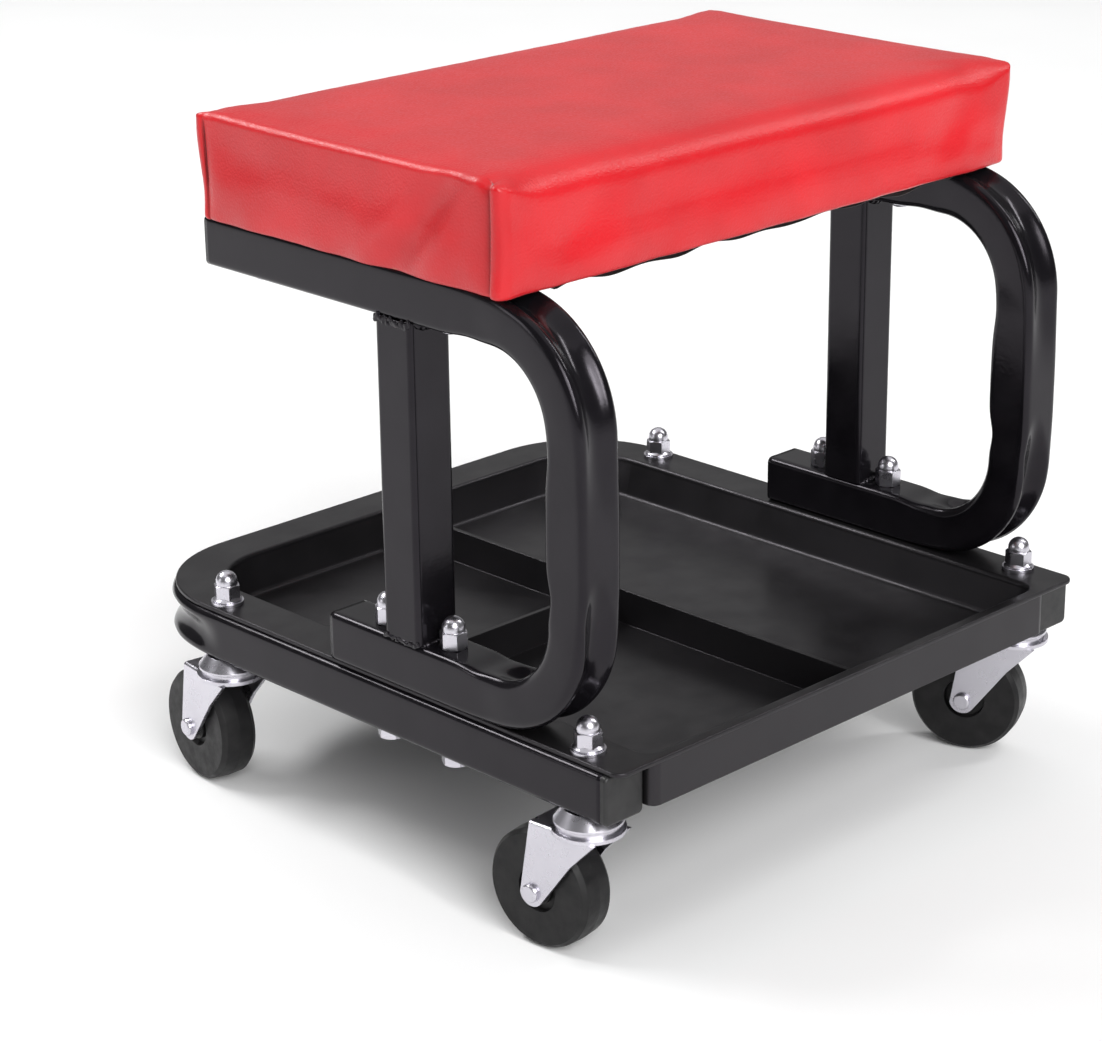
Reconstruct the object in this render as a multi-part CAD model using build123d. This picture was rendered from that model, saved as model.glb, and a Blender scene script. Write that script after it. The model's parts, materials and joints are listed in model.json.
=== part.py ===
from build123d import *
from math import cos, pi, sin
import os

# Mechanic's creeper stool: a padded seat on two C-shaped tube supports, bolted over a moulded
# tool tray and a U-shaped tube base that runs on four swivel casters.
# Millimetres. +Z is up, the front faces -Y, and the origin is on the floor under the
# middle of the object.

# ---- driving dimensions --------------------------------------------------------------------
TUBE = 25.0
TUBE_WALL = 1.5
TUBE_ROUND = 3.0
FIT = 0.05

HALF_WIDTH = 171.5
BASE_BOTTOM = 76.5
BASE_END_Y = -172.0
BASE_REAR_Y = 182.0
BASE_BEND = 65.0
PLUG_HEAD = 3.5
PLUG_DEPTH = 14.0
PLUG_WALL = 2.0

TRAY_WALL = 2.5
FLANGE_HALF_WIDTH = 169.0
FLANGE_FRONT_Y = -182.0
FLANGE_REAR_Y = 179.5
FLANGE_FRONT_ROUND = 6.5
BASIN_GAP = 0.8
BASIN_FRONT_Y = -177.5
BASIN_DEPTH = 21.5
BASIN_SLOPE = 13.0
BASIN_FRONT_ROUND = 11.0
BASIN_REAR_ROUND = 42.0
BASIN_FLOOR_ROUND = 4.0
RIM_ROUND = 2.0
SKIRT_FRONT_Y = -180.6
SKIRT_BACK_Y = -168.0
SKIRT_ROUND = 5.0
SKIRT_WALL = 2.2
FLANGE_EDGE_ROUND = 0.9
DIVIDER_DROP = 3.0
CROSS_DIVIDER_Y = -9.5

SUPPORT_FRONT_Y = -162.5
SUPPORT_BEND = 60.0
LOWER_ARM_END_Y = 12.0
UPPER_ARM_END_Y = 94.5
SUPPORT_TOP = 312.0
POST_Y = -40.5
WELD_HEAD_LEG = 3.2
WELD_FOOT_LEG = 1.9

SEAT_Y = -15.5
SEAT_TOP = 366.0
SEAT_BASE_HALF_X = 177.5
SEAT_BASE_HALF_Y = 105.5
SEAT_FLARE = 2.5
SEAT_CORNER = 9.0
SEAT_TOP_ROUND = 6.0
COVER_SKIN = 1.0
COVER_FLAP = 24.0
DUST_CLOTH = 0.5
DUST_HALF_X = 170.0
DUST_HALF_Y = 99.0
BOARD_THICKNESS = 12.0
BOARD_GAP = 0.3

BOLT_RADIUS = 4.0
BOLT_HOLE = 4.3
BRACKET_BOLT_SPREAD = 23.0
HEX_FLATS = 13.0
HEX_CORNER_SLOPE = 0.6
BOLT_HEAD_HEIGHT = 5.3
WASHER_THICKNESS = 1.6
BOLT_WASHER_RADIUS = 8.0
CASTER_WASHER_RADIUS = 8.4
NUT_FLATS = 12.0
NUT_FLANGE_RADIUS = 7.4
NUT_FLANGE_HEIGHT = 1.8
NUT_HEX_TOP = 8.6
NUT_HEIGHT = 15.7
NUT_DOME_RADIUS = 5.6
THREAD_REACH = 12.0

SEAT_SCREW_YS = (-67.0, 65.0)
SCREW_RADIUS = 2.9
SCREW_HEAD_RADIUS = 4.8
SCREW_HEAD_HEIGHT = 2.4
SCREW_WASHER_RADIUS = 6.5
SCREW_WASHER_THICKNESS = 0.8
SCREW_BITE = 10.0

STAPLE_CROWN = 10.0
STAPLE_WIRE = 0.6
STAPLE_LEG = 6.0
STAPLES_PER_EDGE = 7
STAPLE_PITCH = 42.0
STAPLE_INSET = 7.0

CASTER_X = 159.0
CASTER_FRONT_Y = -152.5
CASTER_REAR_Y = 108.0
WHEEL_RADIUS = 30.0
WHEEL_WIDTH = 20.0
WHEEL_EDGE = 2.4
HUB_RECESS_RADIUS = 10.5
HUB_RECESS_DEPTH = 3.0
HUB_RADIUS = 7.5
CASTER_TRAIL = 23.5
SLEEVE_RADIUS = 5.0
AXLE_RADIUS = 3.0
AXLE_HEAD_RADIUS = 4.6
AXLE_HEAD_HEIGHT = 2.4
LEG_INNER = 12.0
SHEET = 2.0
FORK_TOP = 66.5
FORK_ROUND = 17.5
FORK_TAIL = 24.5
LEG_LEAD = 14.0
LEG_WAIST_Z = 50.0
LEG_FOOT_RADIUS = 7.0
KINGPIN_RADIUS = 6.2
KINGPIN_HEAD_RADIUS = 8.5
KINGPIN_HEAD_HEIGHT = 2.0
CAP_TOP_RADIUS = 12.0
CAP_RIM_RADIUS = 16.5
CAP_HEIGHT = 7.0
CAP_WALL = 1.4
BALL_RADIUS = 2.0
BALL_CIRCLE = 10.4
BALL_COUNT = 14
RACE_OUTER = 15.3
RACE_TOP = 68.9

# Each caster's place and the way its wheel trails, in degrees from the +X axis.
CASTERS = {
    "front_left": (-CASTER_X, CASTER_FRONT_Y, 95.0),
    "front_right": (CASTER_X, CASTER_FRONT_Y, 112.0),
    "rear_left": (-CASTER_X, CASTER_REAR_Y, 82.0),
    "rear_right": (CASTER_X, CASTER_REAR_Y, 100.0),
}

# ---- worked-out levels ---------------------------------------------------------------------
BASE_TOP = BASE_BOTTOM + TUBE
FLANGE_TOP = BASE_TOP + TRAY_WALL
BASIN_BOTTOM = BASE_TOP - BASIN_DEPTH
LOWER_ARM_TOP = FLANGE_TOP + TUBE
UPPER_ARM_BOTTOM = SUPPORT_TOP - TUBE
INNER_X = HALF_WIDTH - TUBE
ARM_X = HALF_WIDTH - TUBE / 2
FLAP_BOTTOM = SUPPORT_TOP + DUST_CLOTH
BOARD_BOTTOM = FLAP_BOTTOM + COVER_SKIN
BOARD_TOP = BOARD_BOTTOM + BOARD_THICKNESS
FOAM_TOP = SEAT_TOP - COVER_SKIN
BRACKET_BOLT_YS = (POST_Y - BRACKET_BOLT_SPREAD, POST_Y + BRACKET_BOLT_SPREAD)
SIDES = (-1, 1)


# ---- small helpers -------------------------------------------------------------------------
def block(x0, x1, y0, y1, z0, z1):
    """A box from its two corners."""
    size = Box(x1 - x0, y1 - y0, z1 - z0)
    return Pos((x0 + x1) / 2, (y0 + y1) / 2, (z0 + z1) / 2) * size


def rod(x, y, z0, z1, radius):
    """An upright cylinder from z0 to z1."""
    return Pos(x, y, (z0 + z1) / 2) * Cylinder(radius, z1 - z0)


def drill(part, places, radius, z0, z1):
    """Cut an upright hole at each (x, y) place."""
    for x, y in places:
        part -= rod(x, y, z0, z1, radius)
    return part


def washer(x, y, z0, inner, outer, thickness):
    """A flat ring with its lower face at z0."""
    return rod(x, y, z0, z0 + thickness, outer) - rod(x, y, z0, z0 + thickness, inner)


def revolved(points):
    """Turn an (r, z) outline about the Z axis."""
    outline = make_face(Polyline(*[(r, 0, z) for r, z in points], close=True))
    return revolve(outline, Axis.Z)


def hexagon(x, y, z0, z1, flats):
    """An upright hexagonal prism, measured across its flats, with its corners turned off at both ends."""
    outline = RegularPolygon(flats / 2, 6, major_radius=False)
    prism = Pos(0, 0, z0) * extrude(outline, z1 - z0)
    corner = flats / 3**0.5
    drop = (corner - flats / 2) * HEX_CORNER_SLOPE
    turned = revolved(
        [(0, z0), (flats / 2, z0), (corner, z0 + drop), (corner, z1 - drop), (flats / 2, z1), (0, z1)]
    )
    return Pos(x, y, 0) * (prism & turned)


def group(solids):
    """Separate solids that share one node."""
    return Compound(children=list(solids))


def save(name, shape):
    export_step(shape, "parts/" + name + ".step")


def rounded_quad(x0, x1, y0, y1, front_round, rear_round):
    """A rectangle in XY whose two front and two rear corners have their own radii."""
    face = make_face(Polyline((x0, y0), (x1, y0), (x1, y1), (x0, y1), close=True))
    front = face.vertices().group_by(Axis.Y)[0]
    face = fillet(front, front_round)
    rear = face.vertices().group_by(Axis.Y)[-1]
    return fillet(rear, rear_round)


def bracket_bolt_places():
    return [(side * ARM_X, y) for side in SIDES for y in BRACKET_BOLT_YS]


def caster_places():
    return [(x, y) for x, y, _ in CASTERS.values()]


def seat_screw_places():
    return [(side * ARM_X, y) for side in SIDES for y in SEAT_SCREW_YS]


# ---- base tube -----------------------------------------------------------------------------
def base_outline(inset):
    """The U of the base tube seen from above, its walls moved in by the inset."""
    half = HALF_WIDTH - inset
    inner = HALF_WIDTH - TUBE + inset
    rear = BASE_REAR_Y - inset
    inner_rear = BASE_REAR_Y - TUBE + inset
    face = make_face(
        Polyline(
            (-half, BASE_END_Y),
            (-half, rear),
            (half, rear),
            (half, BASE_END_Y),
            (inner, BASE_END_Y),
            (inner, inner_rear),
            (-inner, inner_rear),
            (-inner, BASE_END_Y),
            close=True,
        )
    )
    outer_corners = face.vertices().group_by(Axis.Y)[-1]
    face = fillet(outer_corners, BASE_BEND - inset)
    inner_corners = [v for v in face.vertices() if abs(v.Y - inner_rear) < 0.01 and abs(v.X) > inner - 1]
    return fillet(inner_corners, BASE_BEND - TUBE + inset)


def base_frame():
    tube = Pos(0, 0, BASE_BOTTOM) * extrude(base_outline(0), TUBE)
    edges = [e for e in tube.edges() if abs((e @ 0).Z - (e @ 1).Z) < 0.01 and (e @ 0.5).Y > BASE_END_Y + 1]
    tube = fillet(edges, TUBE_ROUND)
    cavity = Pos(0, 0, BASE_BOTTOM + TUBE_WALL) * extrude(base_outline(TUBE_WALL), TUBE - 2 * TUBE_WALL)
    tube -= cavity
    holes = caster_places() + bracket_bolt_places()
    return drill(tube, holes, BOLT_HOLE, BASE_BOTTOM - 1, BASE_TOP + 1)


def rail_plug(side):
    """The plastic plug in a front end of the base tube: a rounded head and a hollow tail."""
    x = side * ARM_X
    middle = BASE_BOTTOM + TUBE / 2
    head_size = TUBE - 0.2
    front = BASE_END_Y - PLUG_HEAD
    head = Pos(x, BASE_END_Y - PLUG_HEAD / 2, middle) * Box(head_size, PLUG_HEAD, head_size)
    head = fillet(head.edges().filter_by(Axis.Y), TUBE_ROUND)
    head = fillet(head.faces().sort_by(Axis.Y)[0].edges(), PLUG_HEAD * 0.45)
    tail_size = TUBE - 2 * TUBE_WALL - 0.3
    tail = Pos(x, BASE_END_Y + PLUG_DEPTH / 2, middle) * Box(tail_size, PLUG_DEPTH, tail_size)
    bore_size = tail_size - 2 * PLUG_WALL
    tail -= Pos(x, BASE_END_Y + PLUG_DEPTH / 2, middle) * Box(bore_size, PLUG_DEPTH, bore_size)
    return head + tail


# ---- tool tray -----------------------------------------------------------------------------
def basin(top_inset, depth):
    """The tray's tapered hollow, as a solid hanging from the rails' top."""
    half = INNER_X - BASIN_GAP - top_inset
    front = BASIN_FRONT_Y + top_inset
    rear = BASE_REAR_Y - TUBE - BASIN_GAP - top_inset
    outline = rounded_quad(
        -half, half, front, rear, BASIN_FRONT_ROUND - top_inset, BASIN_REAR_ROUND - top_inset
    )
    solid = extrude(outline, -depth, taper=BASIN_SLOPE)
    solid = Pos(0, 0, BASE_TOP) * solid
    return fillet(solid.faces().sort_by(Axis.Z)[0].edges(), BASIN_FLOOR_ROUND - top_inset / 2)


def front_skirt():
    """The wall that hangs from the flange's front edge and turns back beside both rails."""
    half = INNER_X - BASIN_GAP
    open_end = SKIRT_BACK_Y + 20
    outer = rounded_quad(-half, half, SKIRT_FRONT_Y, open_end, SKIRT_ROUND, 1)
    wall = SKIRT_WALL
    inner = rounded_quad(wall - half, half - wall, SKIRT_FRONT_Y + wall, open_end + 5, SKIRT_ROUND - wall, 1)
    bottom = BASE_TOP - BASIN_DEPTH
    skirt = Pos(0, 0, bottom) * extrude(outer - inner, BASIN_DEPTH)
    return skirt & block(-half - 1, half + 1, SKIRT_FRONT_Y - 1, SKIRT_BACK_Y, bottom - 1, BASE_TOP + 1)


def tool_tray():
    flange_outline = rounded_quad(
        -FLANGE_HALF_WIDTH,
        FLANGE_HALF_WIDTH,
        FLANGE_FRONT_Y,
        FLANGE_REAR_Y,
        FLANGE_FRONT_ROUND,
        BASE_BEND - (BASE_REAR_Y - FLANGE_REAR_Y),
    )
    flange = Pos(0, 0, BASE_TOP) * extrude(flange_outline, TRAY_WALL)
    flange = fillet(flange.edges().filter_by(lambda e: abs((e @ 0).Z - (e @ 1).Z) < 0.01), FLANGE_EDGE_ROUND)
    hollow = basin(TRAY_WALL, BASIN_DEPTH - TRAY_WALL)
    mouth_outline = hollow.faces().sort_by(Axis.Z)[-1]
    mouth = extrude(mouth_outline, TRAY_WALL, dir=(0, 0, 1))
    tray = flange + basin(0, BASIN_DEPTH) - hollow - mouth
    top_face = tray.faces().sort_by(Axis.Z)[-1]
    tray = fillet(top_face.inner_wires()[0].edges(), RIM_ROUND)
    tray += front_skirt()
    tray += dividers()
    holes = caster_places() + bracket_bolt_places()
    return drill(tray, holes, BOLT_HOLE, BASE_TOP - 1, FLANGE_TOP + 1)


def dividers():
    """The long divider down the middle, and the cross divider in the left half."""
    top = FLANGE_TOP - DIVIDER_DROP
    floor = BASIN_BOTTOM + TRAY_WALL / 2
    half = TRAY_WALL / 2
    rear = BASE_REAR_Y - TUBE
    long_wall = block(-half, half, BASIN_FRONT_Y, rear, floor, top)
    cross_wall = block(-INNER_X, 0, CROSS_DIVIDER_Y - half, CROSS_DIVIDER_Y + half, floor, top)
    return (long_wall + cross_wall) & basin(half, BASIN_DEPTH - half)


# ---- seat supports -------------------------------------------------------------------------
def support_outline(inset):
    """The C of a seat support seen from its side, its walls moved in by the inset."""
    bottom = FLANGE_TOP + inset
    top = SUPPORT_TOP - inset
    front = SUPPORT_FRONT_Y + inset
    inner_bottom = LOWER_ARM_TOP - inset
    inner_top = UPPER_ARM_BOTTOM + inset
    inner_front = SUPPORT_FRONT_Y + TUBE - inset
    points = [
        (0, LOWER_ARM_END_Y, bottom),
        (0, front, bottom),
        (0, front, top),
        (0, UPPER_ARM_END_Y, top),
        (0, UPPER_ARM_END_Y, inner_top),
        (0, inner_front, inner_top),
        (0, inner_front, inner_bottom),
        (0, LOWER_ARM_END_Y, inner_bottom),
    ]
    face = make_face(Polyline(*points, close=True))
    outer_corners = [v for v in face.vertices() if abs(v.Y - front) < 0.01]
    face = fillet(outer_corners, SUPPORT_BEND - inset)
    inner_corners = [v for v in face.vertices() if abs(v.Y - inner_front) < 0.01]
    return fillet(inner_corners, SUPPORT_BEND - TUBE + inset)


def seat_support(side):
    x = side * ARM_X - TUBE / 2
    tube = Pos(x, 0, 0) * extrude(support_outline(0), TUBE, dir=(1, 0, 0))
    edges = [e for e in tube.edges() if abs((e @ 0).X - (e @ 1).X) < 0.01]
    ends = (LOWER_ARM_END_Y, UPPER_ARM_END_Y)
    edges = [e for e in edges if min(abs((e @ 0.5).Y - end) for end in ends) > 0.01]
    tube = fillet(edges, TUBE_ROUND)
    wide = TUBE - 2 * TUBE_WALL
    tube -= Pos(x + TUBE_WALL, 0, 0) * extrude(support_outline(TUBE_WALL), wide, dir=(1, 0, 0))
    bolts = [(side * ARM_X, y) for y in BRACKET_BOLT_YS]
    tube = drill(tube, bolts, BOLT_HOLE, FLANGE_TOP - 1, LOWER_ARM_TOP + 1)
    screws = [(side * ARM_X, y) for y in SEAT_SCREW_YS]
    return drill(tube, screws, SCREW_RADIUS + 0.3, UPPER_ARM_BOTTOM - 1, SUPPORT_TOP + 1)


def support_plug(side, end_y, bottom):
    """The flat plug in the rear end of a support arm."""
    x = side * ARM_X
    middle = bottom + TUBE / 2
    size = TUBE - 2 * TUBE_WALL - 0.2
    return Pos(x, end_y - PLUG_WALL / 2, middle) * Box(size, PLUG_WALL, size)


def support_post(side):
    height = UPPER_ARM_BOTTOM - LOWER_ARM_TOP
    middle = (UPPER_ARM_BOTTOM + LOWER_ARM_TOP) / 2
    post = Pos(side * ARM_X, POST_Y, middle) * Box(TUBE, TUBE, height)
    post = fillet(post.edges().filter_by(Axis.Z), TUBE_ROUND)
    wide = TUBE - 2 * TUBE_WALL
    return post - Pos(side * ARM_X, POST_Y, middle) * Box(wide, wide, height)


def weld_bead(side, facing, level, rising, leg):
    """A fillet weld across the front or rear foot or head of a post."""
    y = POST_Y + facing * TUBE / 2
    corner = (0, y, level)
    along = (0, y + facing * leg, level)
    up = (0, y, level + rising * leg)
    section = make_face(Polyline(corner, along, up, close=True))
    length = TUBE - 2 * TUBE_ROUND
    return Pos(side * ARM_X - length / 2, 0, 0) * extrude(section, length, dir=(1, 0, 0))


def weld_beads():
    ends = ((LOWER_ARM_TOP, 1, WELD_FOOT_LEG), (UPPER_ARM_BOTTOM, -1, WELD_HEAD_LEG))
    return group(weld_bead(side, facing, *end) for side in SIDES for facing in SIDES for end in ends)


# ---- fasteners -----------------------------------------------------------------------------
def bracket_bolt(x, y):
    """A bolt up through rail, tray and support arm, with its hexagon head below."""
    head_top = BASE_BOTTOM - WASHER_THICKNESS
    head = hexagon(x, y, head_top - BOLT_HEAD_HEIGHT, head_top, HEX_FLATS)
    shank_top = LOWER_ARM_TOP + THREAD_REACH
    return head + rod(x, y, head_top, shank_top, BOLT_RADIUS)


def dome_nut(x, y, z, flanged):
    """A dome nut standing at height z, hollow above the thread it takes."""
    nut = hexagon(0, 0, 0, NUT_HEX_TOP, NUT_FLATS)
    nut += rod(0, 0, NUT_HEX_TOP - 1, NUT_HEIGHT - NUT_DOME_RADIUS, NUT_DOME_RADIUS)
    nut += Pos(0, 0, NUT_HEIGHT - NUT_DOME_RADIUS) * Sphere(NUT_DOME_RADIUS)
    if flanged:
        nut += revolved(
            [
                (0, 0),
                (NUT_FLANGE_RADIUS, 0),
                (NUT_FLANGE_RADIUS, 0.8),
                (NUT_DOME_RADIUS, NUT_FLANGE_HEIGHT + 0.6),
                (0, NUT_FLANGE_HEIGHT + 0.6),
            ]
        )
    nut -= rod(0, 0, -1, THREAD_REACH + 0.4, BOLT_RADIUS)
    return Pos(x, y, z) * nut


def seat_screw(x, y):
    """A pan-head screw up through the upper arm into the seat board."""
    head_top = UPPER_ARM_BOTTOM - SCREW_WASHER_THICKNESS
    head = rod(x, y, head_top - SCREW_HEAD_HEIGHT, head_top, SCREW_HEAD_RADIUS)
    head = fillet(head.faces().sort_by(Axis.Z)[0].edges(), 1.4)
    slot_z = head_top - SCREW_HEAD_HEIGHT
    for turn in (0, 90):
        head -= Pos(x, y, slot_z) * Rot(0, 0, turn) * Box(5.0, 1.1, 2.8)
    return head + rod(x, y, head_top, BOARD_BOTTOM + SCREW_BITE, SCREW_RADIUS)


# ---- seat ----------------------------------------------------------------------------------
def seat_form(inset, z0, z1):
    """The seat's flared block between two levels, its sides moved in by the inset."""
    grow = (z0 - FLAP_BOTTOM) * SEAT_FLARE / (SEAT_TOP - FLAP_BOTTOM)
    grow_top = (z1 - FLAP_BOTTOM) * SEAT_FLARE / (SEAT_TOP - FLAP_BOTTOM)
    sections = []
    for level, extra in ((z0, grow), (z1, grow_top)):
        half_x = SEAT_BASE_HALF_X + extra - inset
        half_y = SEAT_BASE_HALF_Y + extra - inset
        outline = RectangleRounded(2 * half_x, 2 * half_y, SEAT_CORNER - inset)
        sections.append(Pos(0, SEAT_Y, level) * outline)
    return loft(sections)


def seat_cover():
    """The vinyl: top, four sides and a flap turned under the board all round."""
    skin = seat_form(0, FLAP_BOTTOM, SEAT_TOP)
    skin = fillet(skin.faces().sort_by(Axis.Z)[-1].edges(), SEAT_TOP_ROUND)
    inside = seat_form(COVER_SKIN, BOARD_BOTTOM, FOAM_TOP)
    inside = fillet(inside.faces().sort_by(Axis.Z)[-1].edges(), SEAT_TOP_ROUND - COVER_SKIN)
    open_x = SEAT_BASE_HALF_X - COVER_FLAP
    open_y = SEAT_BASE_HALF_Y - COVER_FLAP
    window = block(-open_x, open_x, SEAT_Y - open_y, SEAT_Y + open_y, FLAP_BOTTOM - 1, BOARD_BOTTOM + 1)
    cover = skin - inside - window
    return drill(cover, seat_screw_places(), SCREW_RADIUS, FLAP_BOTTOM - 1, BOARD_BOTTOM + 1)


def seat_foam():
    foam = seat_form(COVER_SKIN + BOARD_GAP, BOARD_TOP, FOAM_TOP - BOARD_GAP)
    return fillet(foam.faces().sort_by(Axis.Z)[-1].edges(), SEAT_TOP_ROUND - COVER_SKIN)


def seat_board():
    half_x = SEAT_BASE_HALF_X - COVER_SKIN - BOARD_GAP
    half_y = SEAT_BASE_HALF_Y - COVER_SKIN - BOARD_GAP
    outline = Pos(0, SEAT_Y) * RectangleRounded(2 * half_x, 2 * half_y, SEAT_CORNER)
    board = Pos(0, 0, BOARD_BOTTOM) * extrude(outline, BOARD_THICKNESS)
    return drill(board, seat_screw_places(), SCREW_RADIUS, BOARD_BOTTOM - 1, BOARD_BOTTOM + SCREW_BITE + 0.2)


def dust_cover():
    cloth = block(
        -DUST_HALF_X, DUST_HALF_X, SEAT_Y - DUST_HALF_Y, SEAT_Y + DUST_HALF_Y, SUPPORT_TOP, FLAP_BOTTOM
    )
    return drill(cloth, seat_screw_places(), SCREW_RADIUS, SUPPORT_TOP - 1, FLAP_BOTTOM + 1)


def staple(x, y):
    """A staple whose crown lies under the dust cover and whose legs go up into the board."""
    crown = block(
        x - STAPLE_CROWN / 2, x + STAPLE_CROWN / 2, y - STAPLE_WIRE / 2, y + STAPLE_WIRE / 2,
        SUPPORT_TOP - STAPLE_WIRE, SUPPORT_TOP,
    )
    for side in SIDES:
        leg_x = x + side * (STAPLE_CROWN - STAPLE_WIRE) / 2
        crown += block(
            leg_x - STAPLE_WIRE / 2, leg_x + STAPLE_WIRE / 2, y - STAPLE_WIRE / 2, y + STAPLE_WIRE / 2,
            SUPPORT_TOP - STAPLE_WIRE, SUPPORT_TOP + STAPLE_LEG,
        )
    return crown


def dust_cover_staples():
    reach = DUST_HALF_Y - STAPLE_INSET
    middle = (STAPLES_PER_EDGE - 1) / 2
    xs = [(index - middle) * STAPLE_PITCH for index in range(STAPLES_PER_EDGE)]
    return group(staple(x, SEAT_Y + edge * reach) for edge in SIDES for x in xs)


# ---- casters: built with the swivel axis on Z and the wheel trailing towards +X --------------
def kingpin():
    """The threaded stem that holds the caster, riveted over below the fork."""
    head_top = FORK_TOP - SHEET - 2 * FIT
    head = rod(0, 0, head_top - KINGPIN_HEAD_HEIGHT, head_top, KINGPIN_HEAD_RADIUS)
    head = fillet(head.faces().sort_by(Axis.Z)[0].edges(), KINGPIN_HEAD_HEIGHT * 0.6)
    collar = rod(0, 0, head_top, BASE_BOTTOM - CAP_WALL, KINGPIN_RADIUS)
    thread = rod(0, 0, BASE_BOTTOM - CAP_WALL, FLANGE_TOP + WASHER_THICKNESS + THREAD_REACH, BOLT_RADIUS)
    return head + collar + thread


def race_cap():
    """The upper race: a flat top under the rail and a cone that widens over the balls."""
    top = BASE_BOTTOM
    rim = top - CAP_HEIGHT
    return revolved(
        [
            (BOLT_RADIUS + FIT, top),
            (CAP_TOP_RADIUS, top),
            (CAP_RIM_RADIUS, rim + 1.2),
            (CAP_RIM_RADIUS, rim),
            (CAP_RIM_RADIUS - CAP_WALL, rim),
            (CAP_TOP_RADIUS - CAP_WALL / 2, top - CAP_WALL),
            (BOLT_RADIUS + FIT, top - CAP_WALL),
        ]
    )


def bearing_balls():
    level = RACE_TOP + FIT + BALL_RADIUS
    balls = []
    for index in range(BALL_COUNT):
        turn = 2 * pi * index / BALL_COUNT
        balls.append(Pos(BALL_CIRCLE * cos(turn), BALL_CIRCLE * sin(turn), level) * Sphere(BALL_RADIUS))
    return group(balls)


def fork_leg():
    """One leg seen from the side: an upright trailing edge and a slanting leading edge."""
    foot_x = CASTER_TRAIL
    foot_z = WHEEL_RADIUS
    top = FORK_TOP - SHEET
    low_left = (foot_x - LEG_FOOT_RADIUS * 0.8, 0, foot_z - LEG_FOOT_RADIUS * 0.6)
    low_mid = (foot_x, 0, foot_z - LEG_FOOT_RADIUS)
    low_right = (foot_x + LEG_FOOT_RADIUS * 0.98, 0, foot_z - LEG_FOOT_RADIUS * 0.2)
    waist = (0, 0, LEG_WAIST_Z)
    outline = Polyline(low_right, (FORK_TAIL, 0, top), (-LEG_LEAD, 0, top), waist, low_left)
    foot = ThreePointArc(low_left, low_mid, low_right)
    face = make_face(outline + foot)
    return extrude(face, SHEET, dir=(0, 1, 0))


def fork_plate():
    """The fork's top: round about the swivel, with a square tail over the wheel."""
    half = LEG_INNER + SHEET
    plate = rod(0, 0, FORK_TOP - SHEET, FORK_TOP, FORK_ROUND)
    tail = block(-LEG_LEAD + 4, FORK_TAIL, -half, half, FORK_TOP - SHEET, FORK_TOP)
    return plate + tail


def fork():
    """The stamped fork: plate, two legs and the raised race that the balls run on."""
    leg = fork_leg()
    body = fork_plate() + Pos(0, LEG_INNER, 0) * leg + Pos(0, -LEG_INNER - SHEET, 0) * leg
    bends = [e for e in body.edges().filter_by(Axis.X) if (e @ 0.5).Z > FORK_TOP - 0.01]
    body = fillet([e for e in bends if (e @ 1).X > FORK_TAIL - 1 or (e @ 0).X > FORK_TAIL - 1], SHEET * 0.9)
    body += rod(0, 0, FORK_TOP, RACE_TOP, RACE_OUTER)
    body -= rod(0, 0, FORK_TOP - SHEET - 1, RACE_TOP + 1, KINGPIN_RADIUS + FIT)
    hole = Pos(CASTER_TRAIL, 0, WHEEL_RADIUS) * Rot(90, 0, 0) * Cylinder(AXLE_RADIUS + FIT, 4 * LEG_INNER)
    return body - hole


def across_axle(radius, y0, y1):
    """A cylinder on the wheel's axis between two distances from the fork's middle."""
    return Pos(CASTER_TRAIL, (y0 + y1) / 2, WHEEL_RADIUS) * Rot(90, 0, 0) * Cylinder(radius, y1 - y0)


def axle():
    """The riveted axle, with a low domed head outside each leg."""
    out = LEG_INNER + SHEET
    pin = across_axle(AXLE_RADIUS, -out, out)
    for side in SIDES:
        low = min(side * out, side * (out + AXLE_HEAD_HEIGHT))
        head = across_axle(AXLE_HEAD_RADIUS, low, low + AXLE_HEAD_HEIGHT)
        outer_face = head.faces().sort_by(Axis.Y)[-1 if side > 0 else 0]
        pin += fillet(outer_face.edges(), AXLE_HEAD_HEIGHT * 0.55)
    return pin


def axle_sleeve():
    reach = LEG_INNER - FIT
    return across_axle(SLEEVE_RADIUS, -reach, reach) - across_axle(AXLE_RADIUS + FIT / 2, -reach, reach)


def wheel():
    """A solid wheel with a crowned tread and a hub that is sunk in each face."""
    half = WHEEL_WIDTH / 2
    edge = WHEEL_RADIUS - WHEEL_EDGE
    crown = WHEEL_RADIUS - 0.5
    bore = SLEEVE_RADIUS + FIT
    points = [
        (bore, -half + 0.4),
        (HUB_RADIUS, -half + 0.4),
        (HUB_RADIUS, -half + HUB_RECESS_DEPTH),
        (HUB_RECESS_RADIUS, -half + HUB_RECESS_DEPTH),
        (HUB_RECESS_RADIUS + 0.6, -half),
        (edge, -half),
        (crown, -half + WHEEL_EDGE),
        (WHEEL_RADIUS, 0),
        (crown, half - WHEEL_EDGE),
        (edge, half),
        (HUB_RECESS_RADIUS + 0.6, half),
        (HUB_RECESS_RADIUS, half - HUB_RECESS_DEPTH),
        (HUB_RADIUS, half - HUB_RECESS_DEPTH),
        (HUB_RADIUS, half - 0.4),
        (bore, half - 0.4),
    ]
    return Pos(CASTER_TRAIL, 0, WHEEL_RADIUS) * Rot(90, 0, 0) * revolved(points)


CASTER_PARTS = {
    "stem": kingpin,
    "race_cap": race_cap,
    "balls": bearing_balls,
    "fork": fork,
    "axle": axle,
    "sleeve": axle_sleeve,
    "wheel": wheel,
}


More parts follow.
